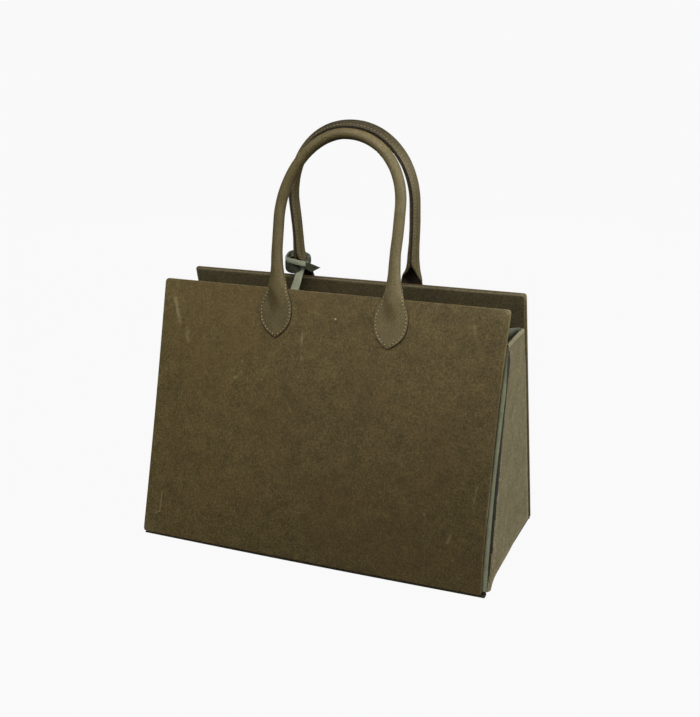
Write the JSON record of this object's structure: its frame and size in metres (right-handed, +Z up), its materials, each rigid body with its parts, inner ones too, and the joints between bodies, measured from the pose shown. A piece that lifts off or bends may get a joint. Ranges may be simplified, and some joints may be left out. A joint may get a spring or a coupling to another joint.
{
  "type": "satchel bag",
  "caption": "Structured leather tote with leaning stiff panels, flat side gussets, rolled handles on pointed tabs and a knotted leather lace.",
  "frame": {"origin": "middle of the base, on the ground", "axes": "+X to the bag's right seen from the front, -Y towards the front, +Z up"},
  "size_m": [0.3673, 0.191, 0.416],
  "materials": {
    "panel_leather": "matte waxed",
    "gusset_leather": "matte waxed",
    "handle_leather": "matte waxed",
    "facing_leather": "matte",
    "lace_leather": "suede",
    "lining": "matte woven",
    "board": "matte",
    "backing": "matte woven",
    "cord_core": "matte twisted",
    "tack_metal": "antique"
  },
  "bodies": {
    "root": {"back_board": "board", "back_facing": "facing_leather", "back_left_backing": "backing", "back_left_tab": "handle_leather", "back_lining": "lining", "back_panel": "panel_leather", "back_right_backing": "backing", "back_right_tab": "handle_leather", "base_board": "board", "base_lining": "lining", "base_panel": "panel_leather", "centre_tack": "tack_metal", "front_board": "board", "front_facing": "facing_leather", "front_left_backing": "backing", "front_left_tab": "handle_leather", "front_lining": "lining", "front_panel": "panel_leather", "front_right_backing": "backing", "front_right_tab": "handle_leather", "lace": "lace_leather", "lace_knot": "lace_leather", "left_gusset": "gusset_leather", "left_gusset_binding": "gusset_leather", "left_gusset_lining": "lining", "right_gusset": "gusset_leather", "right_gusset_binding": "gusset_leather", "right_gusset_lining": "lining"},
    "front_handle": {"front_handle_core": "cord_core", "front_handle_grip": "handle_leather"},
    "back_handle": {"back_handle_core": "cord_core", "back_handle_grip": "handle_leather"}
  },
  "joints": [
    {"name": "front_handle_fold", "type": "hinge", "parent": "root", "child": "front_handle", "pos_m": [0.006, -0.03, 0.2545], "axis": [1, 0, 0], "range_deg": [0, 110]},
    {"name": "back_handle_fold", "type": "hinge", "parent": "root", "child": "back_handle", "pos_m": [0.006, 0.03, 0.258], "axis": [-1, 0, 0], "range_deg": [0, 110]}
  ]
}
